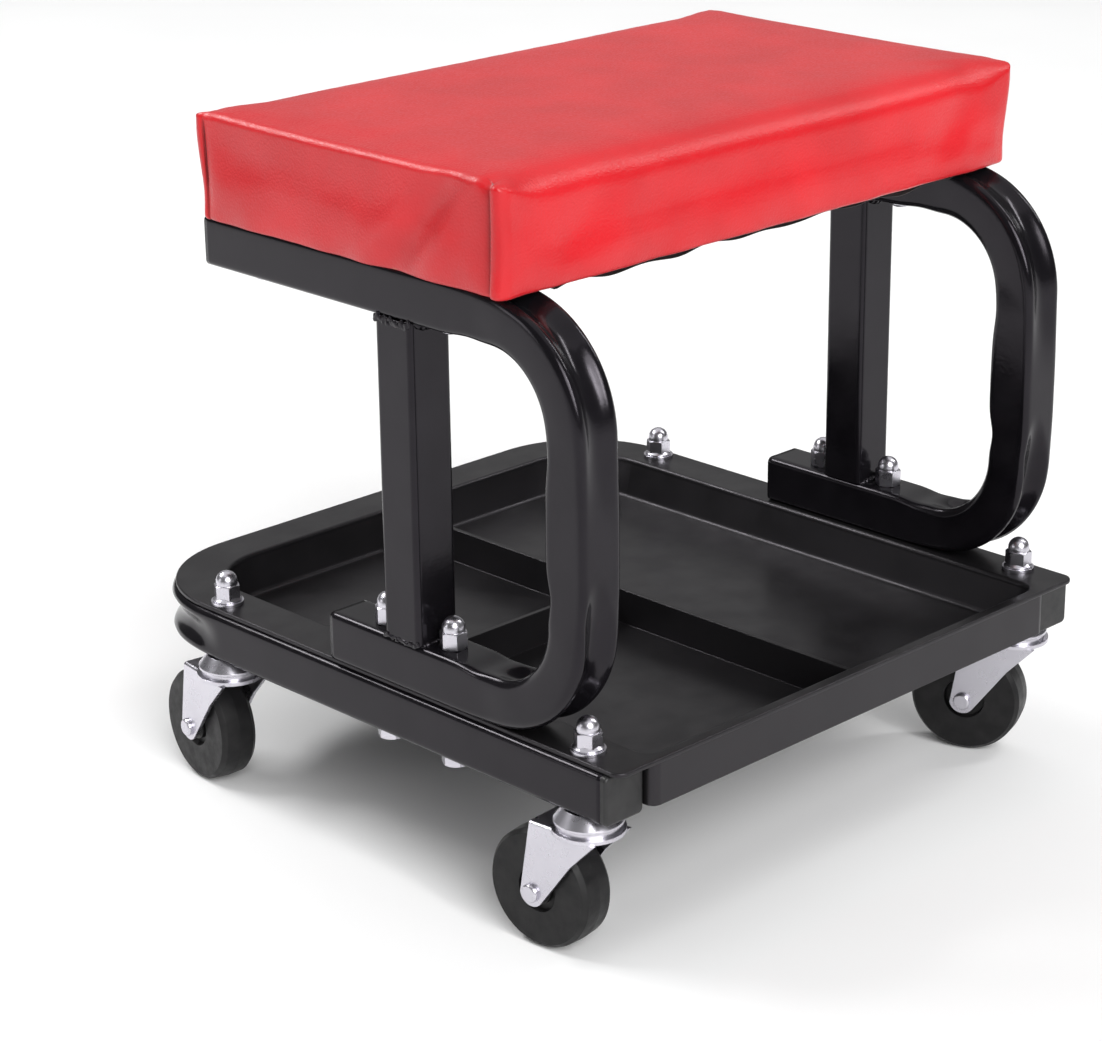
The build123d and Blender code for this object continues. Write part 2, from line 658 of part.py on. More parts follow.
# ---- build ---------------------------------------------------------------------------------
def main():
    os.makedirs("parts", exist_ok=True)
    save("base_frame", base_frame())
    save("tool_tray", tool_tray())
    for name, side in (("left", -1), ("right", 1)):
        save("rail_plug_" + name, rail_plug(side))
        save("seat_support_" + name, seat_support(side))
        save("support_post_" + name, support_post(side))
    arm_ends = ((LOWER_ARM_END_Y, FLANGE_TOP), (UPPER_ARM_END_Y, UPPER_ARM_BOTTOM))
    save("support_end_plugs", group(support_plug(side, y, z) for side in SIDES for y, z in arm_ends))
    save("weld_beads", weld_beads())

    bolts = bracket_bolt_places()
    head_washer_z = BASE_BOTTOM - WASHER_THICKNESS
    save("bracket_bolts", group(bracket_bolt(x, y) for x, y in bolts))
    save(
        "bracket_bolt_washers",
        group(washer(x, y, head_washer_z, BOLT_HOLE, BOLT_WASHER_RADIUS, WASHER_THICKNESS) for x, y in bolts),
    )
    save("bracket_dome_nuts", group(dome_nut(x, y, LOWER_ARM_TOP, False) for x, y in bolts))

    stems = caster_places()
    save(
        "caster_nut_washers",
        group(washer(x, y, FLANGE_TOP, BOLT_HOLE, CASTER_WASHER_RADIUS, WASHER_THICKNESS) for x, y in stems),
    )
    save("caster_dome_nuts", group(dome_nut(x, y, FLANGE_TOP + WASHER_THICKNESS, True) for x, y in stems))

    screws = seat_screw_places()
    screw_washer_z = UPPER_ARM_BOTTOM - SCREW_WASHER_THICKNESS
    save("seat_screws", group(seat_screw(x, y) for x, y in screws))
    save(
        "seat_screw_washers",
        group(
            washer(x, y, screw_washer_z, SCREW_RADIUS + FIT, SCREW_WASHER_RADIUS, SCREW_WASHER_THICKNESS)
            for x, y in screws
        ),
    )
    save("seat_cover", seat_cover())
    save("seat_foam", seat_foam())
    save("seat_board", seat_board())
    save("dust_cover", dust_cover())
    save("dust_cover_staples", dust_cover_staples())

    for piece, make in CASTER_PARTS.items():
        shape = make()
        for place, (x, y, heading) in CASTERS.items():
            save("caster_" + place + "_" + piece, Pos(x, y, 0) * Rot(0, 0, heading) * shape)


main()
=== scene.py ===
import json
import math

import bmesh
import bpy
import numpy as np
from mathutils import Matrix, Vector
from mathutils.kdtree import KDTree


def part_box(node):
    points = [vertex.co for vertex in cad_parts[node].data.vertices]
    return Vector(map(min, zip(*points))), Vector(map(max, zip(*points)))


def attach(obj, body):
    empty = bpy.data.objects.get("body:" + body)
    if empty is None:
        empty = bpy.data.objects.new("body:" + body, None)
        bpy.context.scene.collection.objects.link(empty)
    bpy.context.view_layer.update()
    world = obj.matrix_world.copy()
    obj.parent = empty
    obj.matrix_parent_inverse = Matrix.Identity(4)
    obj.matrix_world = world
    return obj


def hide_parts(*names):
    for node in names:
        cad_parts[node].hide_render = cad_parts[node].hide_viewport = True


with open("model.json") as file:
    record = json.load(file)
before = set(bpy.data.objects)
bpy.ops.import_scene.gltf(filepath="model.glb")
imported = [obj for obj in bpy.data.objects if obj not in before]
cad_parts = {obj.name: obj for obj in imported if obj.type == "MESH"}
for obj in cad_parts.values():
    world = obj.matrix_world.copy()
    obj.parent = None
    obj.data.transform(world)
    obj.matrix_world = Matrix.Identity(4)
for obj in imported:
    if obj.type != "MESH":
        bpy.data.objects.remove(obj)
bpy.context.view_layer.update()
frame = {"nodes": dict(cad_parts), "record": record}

MM = 0.001
RNG = np.random.default_rng(7)
SIDES = {"left": -1, "right": 1}


# ---- meshes ---------------------------------------------------------------------------------
def new_piece(name, vertices, faces, material, body="frame"):
    """A mesh object in metres that rides on a body."""
    mesh = bpy.data.meshes.new(name)
    mesh.from_pydata([tuple(v) for v in vertices], [], faces)
    mesh.validate()
    work = bmesh.new()
    work.from_mesh(mesh)
    bmesh.ops.recalc_face_normals(work, faces=work.faces)
    work.to_mesh(mesh)
    work.free()
    mesh.polygons.foreach_set("use_smooth", [True] * len(mesh.polygons))
    piece = bpy.data.objects.new(name, mesh)
    bpy.context.scene.collection.objects.link(piece)
    mesh.materials.append(material)
    if body:
        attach(piece, body)
    return piece


def grid_faces(rows, columns, wrap=True, start=0):
    """Quads between rows of vertices that are stored one row after another."""
    faces = []
    last = columns if wrap else columns - 1
    for row in range(rows - 1):
        for column in range(last):
            a = start + row * columns + column
            b = start + row * columns + (column + 1) % columns
            faces.append((a, b, b + columns, a + columns))
    return faces


def fan_faces(ring, centre, flip=False):
    """Triangles from a ring of vertex indices to one vertex."""
    pairs = zip(ring, ring[1:] + ring[:1])
    return [(b, a, centre) if flip else (a, b, centre) for a, b in pairs]


def smoothstep(value):
    """A smooth rise from 0 to 1 as the value goes from 0 to 1."""
    value = np.clip(value, 0, 1)
    return value * value * (3 - 2 * value)


# ---- materials ------------------------------------------------------------------------------
class Look:
    """A Principled material whose colour, roughness and relief come from procedural nodes."""

    def __init__(self, name, **sockets):
        self.material = bpy.data.materials.new(name)
        self.material.use_nodes = True
        self.tree = self.material.node_tree
        self.shader = self.tree.nodes["Principled BSDF"]
        for socket, value in sockets.items():
            self.shader.inputs[socket.replace("_", " ")].default_value = value
        self.place = self.add("ShaderNodeTexCoord").outputs["Object"]
        self.normal = None

    def add(self, kind, **settings):
        node = self.tree.nodes.new(kind)
        for key, value in settings.items():
            setattr(node, key, value)
        return node

    def link(self, output, target):
        self.tree.links.new(output, target)

    def stretched(self, scale):
        """The object's own coordinates, stretched by a scale on each axis."""
        node = self.add("ShaderNodeMapping")
        node.inputs["Scale"].default_value = scale
        self.link(self.place, node.inputs["Vector"])
        return node.outputs["Vector"]

    def noise(self, scale, detail=3.0, rough=0.5, stretch=None):
        """Soft noise. The scale is in cycles per metre."""
        node = self.add("ShaderNodeTexNoise")
        node.inputs["Scale"].default_value = scale
        node.inputs["Detail"].default_value = detail
        node.inputs["Roughness"].default_value = rough
        self.link(self.stretched(stretch) if stretch else self.place, node.inputs["Vector"])
        return node.outputs["Fac"]

    def cells(self, scale, feature="F1"):
        """Distance to the middle of the nearest cell."""
        node = self.add("ShaderNodeTexVoronoi", feature=feature)
        node.inputs["Scale"].default_value = scale
        self.link(self.place, node.inputs["Vector"])
        return node.outputs["Distance"]

    def ramp(self, factor, low, high, to_low, to_high):
        """The factor's range from low to high, mapped to another range."""
        node = self.add("ShaderNodeMapRange")
        limits = {"From Min": low, "From Max": high, "To Min": to_low, "To Max": to_high}
        for key, value in limits.items():
            node.inputs[key].default_value = value
        self.link(factor, node.inputs["Value"])
        return node.outputs["Result"]

    def colour_mix(self, **settings):
        """A colour Mix node, its two colour inputs and its colour output."""
        node = self.add("ShaderNodeMix", data_type="RGBA", **settings)
        inputs = [socket for socket in node.inputs if socket.type == "RGBA"]
        output = next(socket for socket in node.outputs if socket.type == "RGBA")
        return node, inputs, output

    def colour(self, factor, dark, light, low=0.35, high=0.65):
        """Base colour between dark and light as the factor goes from low to high."""
        node, inputs, output = self.colour_mix()
        inputs[0].default_value = (*dark, 1)
        inputs[1].default_value = (*light, 1)
        self.link(self.ramp(factor, low, high, 0, 1), node.inputs["Factor"])
        self.link(output, self.shader.inputs["Base Color"])

    def roughness(self, factor, smooth, rough, low=0.35, high=0.65):
        self.link(self.ramp(factor, low, high, smooth, rough), self.shader.inputs["Roughness"])

    def paint_crease_shade(self, reach, deepest):
        """Painted shade: multiplies the colour down where the surface is folded in on itself, by an
        ambient occlusion node, so creases look shadowed.
        """
        hollow = self.add("ShaderNodeAmbientOcclusion", samples=6)
        hollow.inputs["Distance"].default_value = reach
        shade = self.add("ShaderNodeCombineColor")
        for channel in ("Red", "Green", "Blue"):
            self.link(self.ramp(hollow.outputs["AO"], 0.35, 0.9, deepest, 1), shade.inputs[channel])
        node, inputs, output = self.colour_mix(blend_type="MULTIPLY")
        node.inputs["Factor"].default_value = 1
        self.link(self.shader.inputs["Base Color"].links[0].from_socket, inputs[0])
        self.link(shade.outputs["Color"], inputs[1])
        self.link(output, self.shader.inputs["Base Color"])

    def soft_edges(self, radius):
        """Shades sharp edges as if they were rounded by a radius in metres."""
        node = self.add("ShaderNodeBevel", samples=4)
        node.inputs["Radius"].default_value = radius
        self.normal = node.outputs["Normal"]
        self.link(self.normal, self.shader.inputs["Normal"])

    def relief(self, height, depth, strength=1.0):
        """Adds a bump of a depth in metres over the earlier ones."""
        node = self.add("ShaderNodeBump")
        node.inputs["Strength"].default_value = strength
        node.inputs["Distance"].default_value = depth
        self.link(height, node.inputs["Height"])
        if self.normal:
            self.link(self.normal, node.inputs["Normal"])
        self.normal = node.outputs["Normal"]
        self.link(self.normal, self.shader.inputs["Normal"])


def vinyl_look():
    look = Look("red_vinyl", Specular_IOR_Level=0.5, Sheen_Weight=0.05, Sheen_Roughness=0.45)
    look.colour(look.noise(22, 4), (0.52, 0.0040, 0.009), (0.61, 0.0068, 0.013))
    # Painted shade: the vinyl's colour is darkened in its creases and folds.
    look.paint_crease_shade(0.005, 0.08)
    look.roughness(look.noise(900, 2), 0.30, 0.46)
    look.relief(look.noise(9, 2), 0.0016, 0.5)
    look.relief(look.cells(950, "SMOOTH_F1"), 0.00020, 0.7)
    look.relief(look.noise(2600, 2), 0.00006, 0.6)
    return look.material


def paint_look():
    look = Look("powder_coat", Specular_IOR_Level=0.27, Specular_Tint=(1.0, 0.93, 1.04, 1.0))
    look.colour(look.noise(60, 3), (0.0044, 0.0039, 0.0050), (0.0070, 0.0063, 0.0078))
    look.roughness(look.noise(35, 4), 0.12, 0.20)
    look.soft_edges(0.0006)
    look.relief(look.noise(420, 2), 0.00005, 0.5)
    look.relief(look.noise(60, 2), 0.0002, 0.3)
    return look.material


def tray_look():
    look = Look("tray_plastic", Specular_IOR_Level=0.38, Specular_Tint=(1.0, 0.94, 1.03, 1.0))
    look.colour(look.noise(14, 5), (0.0070, 0.0066, 0.0072), (0.0100, 0.0094, 0.0102))
    look.roughness(look.noise(50, 4), 0.28, 0.38)
    look.soft_edges(0.0008)
    look.relief(look.noise(2200, 3), 0.00005, 0.6)
    look.relief(look.noise(12, 1), 0.0002, 0.2)
    return look.material


def plug_look():
    look = Look("plug_plastic", Specular_IOR_Level=0.45)
    look.colour(look.noise(90, 3), (0.010, 0.010, 0.0105), (0.016, 0.0155, 0.016))
    look.roughness(look.noise(200, 3), 0.38, 0.52)
    look.soft_edges(0.0005)
    look.relief(look.noise(1800, 3), 0.00006, 0.6)
    return look.material


def zinc_look():
    look = Look("zinc", Metallic=1.0)
    look.colour(look.noise(60, 2), (0.61, 0.595, 0.65), (0.65, 0.635, 0.69))
    look.roughness(look.noise(120, 3), 0.26, 0.31)
    look.soft_edges(0.0004)
    look.relief(look.noise(500, 2), 0.00001, 0.4)
    return look.material


def steel_look():
    look = Look("steel", Metallic=1.0)
    look.colour(look.noise(300, 3), (0.42, 0.42, 0.44), (0.58, 0.58, 0.60))
    look.roughness(look.noise(700, 3), 0.22, 0.36)
    look.relief(look.noise(1500, 2), 0.00003, 0.5)
    return look.material


def wheel_look():
    look = Look("wheel_black", Specular_IOR_Level=0.26)
    look.colour(look.noise(120, 5), (0.0065, 0.0063, 0.0068), (0.0125, 0.012, 0.0125))
    look.roughness(look.noise(160, 4), 0.36, 0.54)
    look.soft_edges(0.0006)
    look.relief(look.noise(1200, 3), 0.00008, 0.6)
    look.relief(look.noise(130, 2), 0.0003, 0.3)
    return look.material


def plywood_look():
    look = Look("plywood", Specular_IOR_Level=0.3)
    grain = look.noise(30, 6, 0.6, (1, 12, 40))
    look.colour(grain, (0.42, 0.27, 0.13), (0.66, 0.48, 0.28), 0.3, 0.7)
    look.roughness(look.noise(90, 3), 0.6, 0.8)
    look.relief(look.noise(60, 6, 0.6, (1, 14, 30)), 0.0003, 0.5)
    return look.material


def foam_look():
    look = Look("foam", Specular_IOR_Level=0.2)
    look.colour(look.noise(40, 3), (0.70, 0.62, 0.40), (0.82, 0.74, 0.50))
    look.roughness(look.noise(300, 2), 0.8, 0.95)
    look.relief(look.cells(900), 0.0004, 0.8)
    return look.material


def cloth_look():
    look = Look("dust_cloth", Specular_IOR_Level=0.25, Sheen_Weight=0.25, Sheen_Roughness=0.5)
    look.colour(look.noise(260, 4), (0.007, 0.007, 0.0075), (0.016, 0.0155, 0.016))
    look.roughness(look.noise(500, 2), 0.75, 0.95)
    look.relief(look.noise(1500, 4, 0.7, (1, 0.25, 1)), 0.00015, 0.7)
    look.relief(look.cells(420), 0.00010, 0.5)
    return look.material


LOOKS = {
    "red_vinyl": vinyl_look(),
    "powder_coat": paint_look(),
    "tray_plastic": tray_look(),
    "plug_plastic": plug_look(),
    "zinc": zinc_look(),
    "steel": steel_look(),
    "wheel_black": wheel_look(),
    "plywood": plywood_look(),
    "foam": foam_look(),
    "dust_cloth": cloth_look(),
}

for part in frame["record"]["subparts"]:
    node = frame["nodes"][part["node"]]
    node.data.materials.clear()
    node.data.materials.append(LOOKS[part["material_slot"]])


# ---- bent square tube -----------------------------------------------------------------------
TUBE = 25 * MM
TUBE_WALL = 1.5 * MM
TUBE_ROUND = 3 * MM
BENT_ROUND = 5 * MM
END_POCKET = 12 * MM
DISH_HALF = 10.5 * MM
STEP = 2.5 * MM
QUARTER_TURN = math.pi / 2


def square_section(half, corner, wall_points=13, corner_points=4):
    """(u, v) points round a square tube, from the wall at +u, which is the outside of a bend."""
    flat = half - corner
    quarter = [(half, v) for v in np.linspace(-flat, flat, wall_points)]
    for index in range(1, corner_points + 1):
        turn = QUARTER_TURN * index / (corner_points + 1)
        quarter.append((flat + corner * math.cos(turn), flat + corner * math.sin(turn)))
    section = []
    for _ in range(4):
        section += quarter
        quarter = [(-v, u) for u, v in quarter]
    return np.array(section)


def planar_path(start, heading, pieces):
    """Stations every STEP along runs and right-hand bends in a plane: rows of a, b, heading.

    A piece is ("run", length, 0) or ("bend", radius, angle).
    """
    a, b = start
    stations = []
    for kind, size, turn in pieces:
        centre = (a + size * math.sin(heading), b - size * math.cos(heading))
        length = size * turn if kind == "bend" else size

        def station(part):
            if kind == "run":
                along = part * length
                return a + along * math.cos(heading), b + along * math.sin(heading), heading
            angle = heading - part * turn
            return centre[0] - size * math.sin(angle), centre[1] + size * math.cos(angle), angle

        count = max(2, round(length / STEP))
        stations += [station(index / count) for index in range(count)]
        a, b, heading = station(1)
    stations.append((a, b, heading))
    return np.array(stations)


def ramp_between(distance, rise_from, rise_to, fall_from, fall_to):
    """0 outside, 1 inside, with a smooth rise and fall along the tube."""
    rise = smoothstep((distance - rise_from) / (rise_to - rise_from))
    fall = 1 - smoothstep((distance - fall_from) / (fall_to - fall_from))
    return rise * fall


def crushed(section, out_depth, out_width, out_shift, in_depth, spread, pinch):
    """The tube's section where it is bent: outer and inner walls dished, sides a little wider."""
    u, v = section[:, 0].copy(), section[:, 1].copy()
    half = TUBE / 2
    outer = smoothstep((u / half - 0.35) / 0.5)
    inner = smoothstep((-u / half - 0.35) / 0.5)
    width = max(out_width, 0.1 * MM)
    groove = np.clip(1 - ((v - out_shift) / width) ** 2, 0, 1) ** 1.5
    dish = np.clip(1 - (v / DISH_HALF) ** 2, 0, 1) ** 1.5
    u -= outer * groove * out_depth
    u += inner * (dish * in_depth + pinch)
    v *= 1 + spread * (1 - (u / half) ** 2)
    return np.stack([u, v], 1)


def bent_tube(name, path, place, shape_at):
    """Sweeps the crushed section along the path, with a hollow pocket in each end.

    place(a, b, heading, u, v) turns a station and section points into points of the object.
    """
    plain = square_section(TUBE / 2, TUBE_ROUND)
    rounder = square_section(TUBE / 2, BENT_ROUND)
    hollow = square_section(TUBE / 2 - TUBE_WALL, TUBE_ROUND - TUBE_WALL)
    steps = np.hypot(np.diff(path[:, 0]), np.diff(path[:, 1]))
    distances = np.concatenate([[0], np.cumsum(steps)])
    columns = len(plain)
    rows = []

    def add_row(station, section, along=0.0):
        a, b, heading = station
        a, b = a + along * math.cos(heading), b + along * math.sin(heading)
        rows.append(place(a, b, heading, section[:, 0], section[:, 1]))

    add_row(path[0], hollow, END_POCKET)
    add_row(path[0], hollow)
    for station, distance in zip(path, distances):
        shape = shape_at(distance)
        weight = shape.pop("weight")
        section = plain * (1 - weight) + rounder * weight
        add_row(station, crushed(section, **shape))
    add_row(path[-1], hollow)
    add_row(path[-1], hollow, -END_POCKET)
    vertices = np.concatenate(rows)
    faces = grid_faces(len(rows), columns)
    first = list(range(columns))
    last = [(len(rows) - 1) * columns + index for index in range(columns)]
    centres = [vertices[first].mean(0), vertices[last].mean(0)]
    vertices = np.concatenate([vertices, centres])
    faces += fan_faces(first, len(vertices) - 2, True) + fan_faces(last, len(vertices) - 1)
    return new_piece(name, vertices, faces, LOOKS["powder_coat"])


def support_shape(distance):
    """How the C of a seat support is crushed, by the distance from the end of its lower arm.

    Millimetres along the tube. The lower bend runs from 114 to 189 and the upper from 277 to 352.
    """
    d = distance / MM
    low_tip = 217.0
    low = ramp_between(d, 92, 128, low_tip - 40, low_tip)
    low_width = 9.6 * np.sqrt(np.clip((low_tip - d) / 22, 0, 1)) if d > 150 else 9.6
    low_shift = -3.6 * smoothstep((d - 165) / 45)
    high = ramp_between(d, 232, 292, 335, 378)
    inner_low = ramp_between(d, 106, 128, 182, 206)
    inner_high = ramp_between(d, 268, 290, 338, 362)
    pinch_low = math.exp(-(((d - 203) / 9) ** 2)) + 0.5 * math.exp(-(((d - 104) / 9) ** 2))
    pinch_high = 0.5 * math.exp(-(((d - 268) / 10) ** 2)) + 0.5 * math.exp(-(((d - 366) / 10) ** 2))
    in_low = d < 225
    return {
        "weight": float(max(low, high, inner_low, inner_high)),
        "out_depth": (7.2 * low if in_low else 3.6 * high) * MM,
        "out_width": (low_width if in_low else 10.5) * MM,
        "out_shift": (low_shift if in_low else -1.0) * MM,
        "in_depth": (4.2 * inner_low + 3.0 * inner_high) * MM,
        "spread": 0.06 * float(max(inner_low, inner_high)),
        "pinch": 2.2 * (pinch_low + pinch_high) * MM,
    }


def base_shape(distance):
    """How the U of the base is crushed at its rear corners, by the distance from its left front end.

    Millimetres along the tube. The bends run from 289 to 371 and from 584 to 667.
    """
    d = distance / MM
    crush = ramp_between(d, 272, 300, 358, 388) + ramp_between(d, 568, 598, 656, 684)
    return {
        "weight": float(crush),
        "out_depth": 4.6 * crush * MM,
        "out_width": 9.8 * MM,
        "out_shift": 0.0,
        "in_depth": 3.0 * crush * MM,
        "spread": 0.02 * float(crush),
        "pinch": 0.0,
    }


def make_supports():
    """The two C-shaped seat supports, swept from the ends of their lower arms."""
    low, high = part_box("seat_support_left")
    bend = 47.5 * MM
    half = TUBE / 2
    lower_end_y = 12 * MM
    front_run = lower_end_y - (low.y + half + bend)
    upright = (high.z - low.z) - TUBE - 2 * bend
    back_run = high.y - (low.y + half + bend)
    path = planar_path(
        (lower_end_y, low.z + half),
        math.pi,
        [
            ("run", front_run, 0),
            ("bend", bend, QUARTER_TURN),
            ("run", upright, 0),
            ("bend", bend, QUARTER_TURN),
            ("run", back_run, 0),
        ],
    )
    for side in SIDES:
        box_low, box_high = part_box("seat_support_" + side)
        middle = (box_low.x + box_high.x) / 2

        def place(a, b, heading, u, v):
            ys = a - u * math.sin(heading)
            zs = b + u * math.cos(heading)
            return np.stack([middle + v, ys, zs], 1)

        tube = bent_tube("support_tube_" + side, path, place, support_shape)
        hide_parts("seat_support_" + side)


def make_base():
    """The U of the base, swept from its left front end."""
    low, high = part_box("base_frame")
    half = TUBE / 2
    bend = 52.5 * MM
    side_run = high.y - half - bend - low.y
    rear_run = (high.x - low.x) - TUBE - 2 * bend
    path = planar_path(
        (low.x + half, low.y),
        QUARTER_TURN,
        [
            ("run", side_run, 0),
            ("bend", bend, QUARTER_TURN),
            ("run", rear_run, 0),
            ("bend", bend, QUARTER_TURN),
            ("run", side_run, 0),
        ],
    )
    level = (low.z + high.z) / 2

    def place(a, b, heading, u, v):
        xs = a - u * math.sin(heading)
        ys = b + u * math.cos(heading)
        return np.stack([xs, ys, level + v], 1)

    tube = bent_tube("base_tube", path, place, base_shape)
    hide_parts("base_frame")


make_supports()
make_base()


# ---- seat cushion ---------------------------------------------------------------------------
SEAT_LOW, SEAT_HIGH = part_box("seat_cover")
SEAT_MIDDLE = (SEAT_LOW + SEAT_HIGH) / 2
BASE_HALF = Vector((177.6, 105.6)) * MM
TOP_HALF = Vector((179.2, 107.4)) * MM
CORNER = 5 * MM
BOTTOM_ROUND = 2.2 * MM
SHORT_EDGE = Vector((5, 4)) * MM
LONG_EDGE = Vector((16, 14)) * MM
FLAP = 24 * MM
BOARD_TOP = 14 * MM

# How the vinyl is folded at a corner: distance along the outline before the fold is made
# (negative on the short side), the distance after it, and how far it stands out. Millimetres.
FOLD = [
    (-26, -26, 0.0),
    (-21, -21, 0.1),
    (-17, -17, 0.2),
    (-14, -13.9, 0.2),
    (-11.5, -11.4, 0.1),
    (-9.5, -9.3, -0.1),
    (-8.4, -8.1, -0.25),
    (-7.6, -7.3, -0.4),
    (-7.0, -6.7, -0.6),
    (-6.5, -6.6, -0.8),
    (-6.1, -6.5, -1.4),
    (-5.8, -6.0, -1.7),
    (-5.5, -5.4, -1.5),
    (-5.2, -5.25, -0.4),
    (-4.9, -5.35, 0.5),
    (-4.6, -5.3, 1.2),
    (-4.3, -4.9, 1.75),
    (-3.8, -4.2, 2.1),
    (-3.0, -3.1, 2.25),
    (-2.0, -2.0, 2.2),
    (-1.0, -1.0, 2.0),
    (0.0, 0.0, 1.75),
    (1.0, 1.0, 1.35),
    (2.0, 2.0, 1.2),
    (3.0, 3.0, 1.1),
    (4.0, 4.0, 1.0),
    (6.0, 6.0, 0.8),
    (9.0, 9.0, 0.6),
    (13.0, 13.0, 0.4),
    (18.0, 18.0, 0.2),
    (24.0, 24.0, 0.0),
]


# How strongly each corner is folded, by the signs of its x and y.
FOLD_SHARE = {(-1, -1): 1.0, (1, -1): 0.32, (-1, 1): 0.36, (1, 1): 0.28}


def outline_point(half, corner, t):
    """Point and outward normal on one corner of the seat's outline, t from the corner's middle."""
    arc = corner * math.pi / 4
    if t < -arc:
        return (half.x, half.y - corner + t + arc), (1.0, 0.0)
    if t > arc:
        return (half.x - corner - (t - arc), half.y), (0.0, 1.0)
    turn = math.pi / 4 * (1 + t / arc)
    normal = (math.cos(turn), math.sin(turn))
    return (half.x - corner + corner * normal[0], half.y - corner + corner * normal[1]), normal


def corner_columns():
    """(t, folded t, out) from the middle of the short side to the middle of the long side."""
    arc = CORNER * math.pi / 4
    short_run = -(BASE_HALF.y - CORNER + arc) / MM
    long_run = (BASE_HALF.x - CORNER + arc) / MM
    short = [(t, t, 0.0) for t in np.linspace(short_run, FOLD[0][0], 22)[:-1]]
    long = [(t, t, 0.0) for t in np.linspace(FOLD[-1][0], long_run, 42)[1:]]
    return [tuple(value * MM for value in column) for column in short + FOLD + long]


def seat_columns():
    """Every column round the seat: (corner signs, t, folded t, out), in order, none repeated."""
    quarter = corner_columns()
    columns = []
    for sx, sy, backwards in ((1, 1, False), (-1, 1, True), (-1, -1, False), (1, -1, True)):
        part = quarter[::-1] if backwards else quarter
        columns += [(sx, sy, *column) for column in part[:-1]]
    return columns


COLUMNS = seat_columns()


def seat_point(column, half, fold, deeper=1.0):
    """A point on the seat's outline at one column, and its outward normal, in XY."""
    sx, sy, t, folded, out = column
    if out < 0:
        out *= deeper
    fold *= FOLD_SHARE[sx, sy]
    along = t + (folded - t) * fold
    (x, y), (nx, ny) = outline_point(half, CORNER, along)
    x, y = x + nx * out * fold, y + ny * out * fold
    return Vector((sx * x, sy * y)), Vector((sx * nx, sy * ny))


def edge_round(column):
    """The run and the drop of the top edge's rounding, which is wider on the long sides."""
    share = float(smoothstep((column[2] / MM + 4) / 34))
    return SHORT_EDGE.lerp(LONG_EDGE, share)


def drawn_in(value, limit, inset):
    """A coordinate moved in from the outline's limit, most where it is close to it."""
    gap = limit - abs(value)
    deeper = (max(gap, 0) ** 3 + inset**3) ** (1 / 3) + min(gap, 0)
    return math.copysign(limit - deeper, value)


def seat_mesh(columns):
    """The cushion's closed skin, row by row from under the flap to the middle of the top."""
    bottom, top = SEAT_LOW.z + 0.1 * MM, SEAT_HIGH.z - 0.6 * MM
    rows = []

    def level(place):
        rows.append([place(column) for column in columns])

    def at(column, inset, z, fold):
        share = (z - bottom) / (top - bottom)
        half = BASE_HALF.lerp(TOP_HALF, min(max(share, 0), 1))
        above_board = float(smoothstep((z - bottom - BOARD_TOP) / (8 * MM)))
        if FOLD_SHARE[column[:2]] < 1:
            fold *= 1 - 0.6 * float(smoothstep((z - top + 11 * MM) / (8 * MM)))
        point, normal = seat_point(column, half, fold, 1 + 1.5 * above_board)
        point -= normal * inset
        return Vector((point.x, point.y + SEAT_MIDDLE.y, z))

    def under(column, share, z):
        """A point of the flap, from its free edge (0) to the start of the bottom rounding (1)."""
        point, normal = seat_point(column, BASE_HALF, 1.0)
        edge = point - normal * BOTTOM_ROUND
        inner = Vector((edge.x * (1 - FLAP / BASE_HALF.x), edge.y * (1 - FLAP / BASE_HALF.y)))
        point = inner.lerp(edge, share)
        return Vector((point.x, point.y + SEAT_MIDDLE.y, z))

    level(lambda c: under(c, 0.02, bottom + 5 * MM))
    level(lambda c: under(c, 0.0, bottom + 1 * MM))
    level(lambda c: under(c, 0.02, bottom))
    for share in (0.25, 0.5, 0.75, 1.0):
        level(lambda c: under(c, share, bottom))
    for turn in np.linspace(0, QUARTER_TURN, 6)[1:]:
        inset = BOTTOM_ROUND * (1 - math.sin(turn))
        level(lambda c: at(c, inset, bottom + BOTTOM_ROUND * (1 - math.cos(turn)), 1.0))
    for share in np.linspace(0, 1, 17)[1:]:
        def wall(column):
            start = bottom + BOTTOM_ROUND
            z = start + (top - edge_round(column).y - start) * share
            return at(column, 0, z, 1.0)
        level(wall)
    for turn in np.linspace(0, QUARTER_TURN, 9)[1:]:
        def rolled(column):
            drop = edge_round(column).y
            fold = 1 - float(smoothstep(turn / QUARTER_TURN))
            point = at(column, 0, top - drop * (1 - math.sin(turn)), fold)
            x = drawn_in(point.x, TOP_HALF.x, SHORT_EDGE.x * (1 - math.cos(turn)))
            y = drawn_in(point.y - SEAT_MIDDLE.y, TOP_HALF.y, LONG_EDGE.x * (1 - math.cos(turn)))
            return Vector((x, SEAT_MIDDLE.y + y, point.z))
        level(rolled)
    ring = rows[-1]
    middle = SEAT_MIDDLE.y
    for share in np.linspace(0, 1, 26)[1:-1]:
        keep = 1 - share
        row = [Vector((edge.x * keep, middle + (edge.y - middle) * keep, top)) for edge in ring]
        rows.append(row)
    count = len(columns)
    vertices = [point for row in rows for point in row]
    vertices.append(Vector((0, SEAT_MIDDLE.y, bottom + 5 * MM)))
    vertices.append(Vector((0, SEAT_MIDDLE.y, top)))
    faces = grid_faces(len(rows), count)
    first = list(range(count))
    last = [(len(rows) - 1) * count + index for index in range(count)]
    faces += fan_faces(first, len(vertices) - 2, True) + fan_faces(last, len(vertices) - 1)
    return np.array([tuple(v) for v in vertices]), faces


CLOTH = {
    "quality": 6,
    "mass": 0.4,
    "tension_stiffness": 18,
    "compression_stiffness": 18,
    "shear_stiffness": 8,
    "bending_stiffness": 0.6,
    "use_pressure": True,
    "uniform_pressure_force": 4.0,
    "vertex_group_mass": "held",
}
CLOTH_VOXEL = 5 * MM
CLOTH_FRAMES = 20


